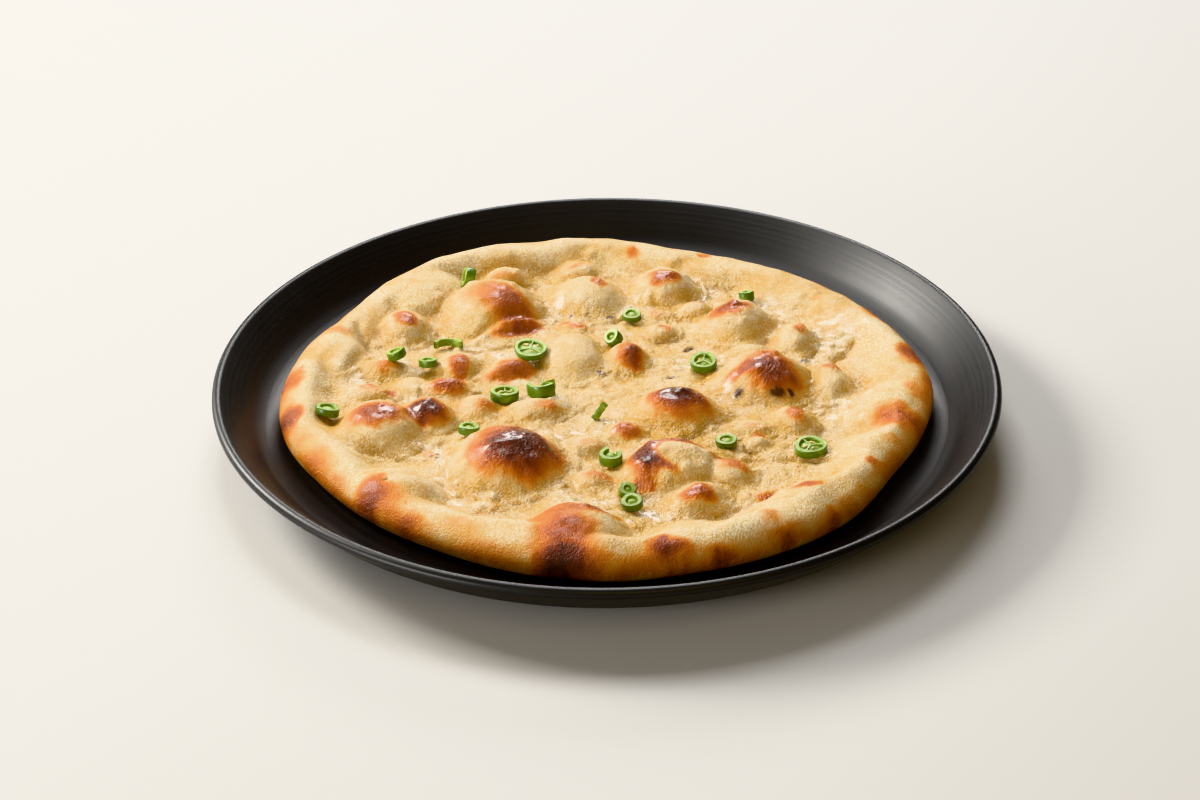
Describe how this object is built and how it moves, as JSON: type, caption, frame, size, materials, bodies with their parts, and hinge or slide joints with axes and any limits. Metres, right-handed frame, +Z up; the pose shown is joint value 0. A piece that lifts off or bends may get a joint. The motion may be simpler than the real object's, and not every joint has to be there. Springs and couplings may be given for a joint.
{
  "type": "naan bread",
  "caption": "Round blistered naan with a puffed rim, scattered with slices of green chilli, resting on a shallow black coupe plate with a foot ring.",
  "frame": {"origin": "on the table under the middle of the plate's foot ring, which is the centre of the underside of the bounding box", "axes": "+Z up, +X to the right of a person at the table, +Y away from them"},
  "size_m": [0.2996, 0.2996, 0.0272],
  "materials": {
    "plate_glaze": "satin black glaze with faint turning rings",
    "bread": "baked crust, cream to golden with brown blisters, buttered in the middle",
    "chilli": "glossy green skin over paler wet flesh"
  },
  "bodies": {
    "root": {"plate": "plate_glaze", "naan": "bread", "chilli_slice_01": "chilli", "chilli_slice_02": "chilli", "chilli_slice_03": "chilli", "chilli_slice_04": "chilli", "chilli_slice_05": "chilli", "chilli_slice_06": "chilli", "chilli_slice_07": "chilli", "chilli_slice_08": "chilli", "chilli_slice_09": "chilli", "chilli_slice_10": "chilli", "chilli_slice_11": "chilli", "chilli_slice_12": "chilli", "chilli_slice_13": "chilli", "chilli_slice_14": "chilli", "chilli_slice_15": "chilli", "chilli_slice_16": "chilli", "chilli_slice_17": "chilli", "chilli_slice_18": "chilli", "chilli_slice_19": "chilli"}
  },
  "joints": []
}
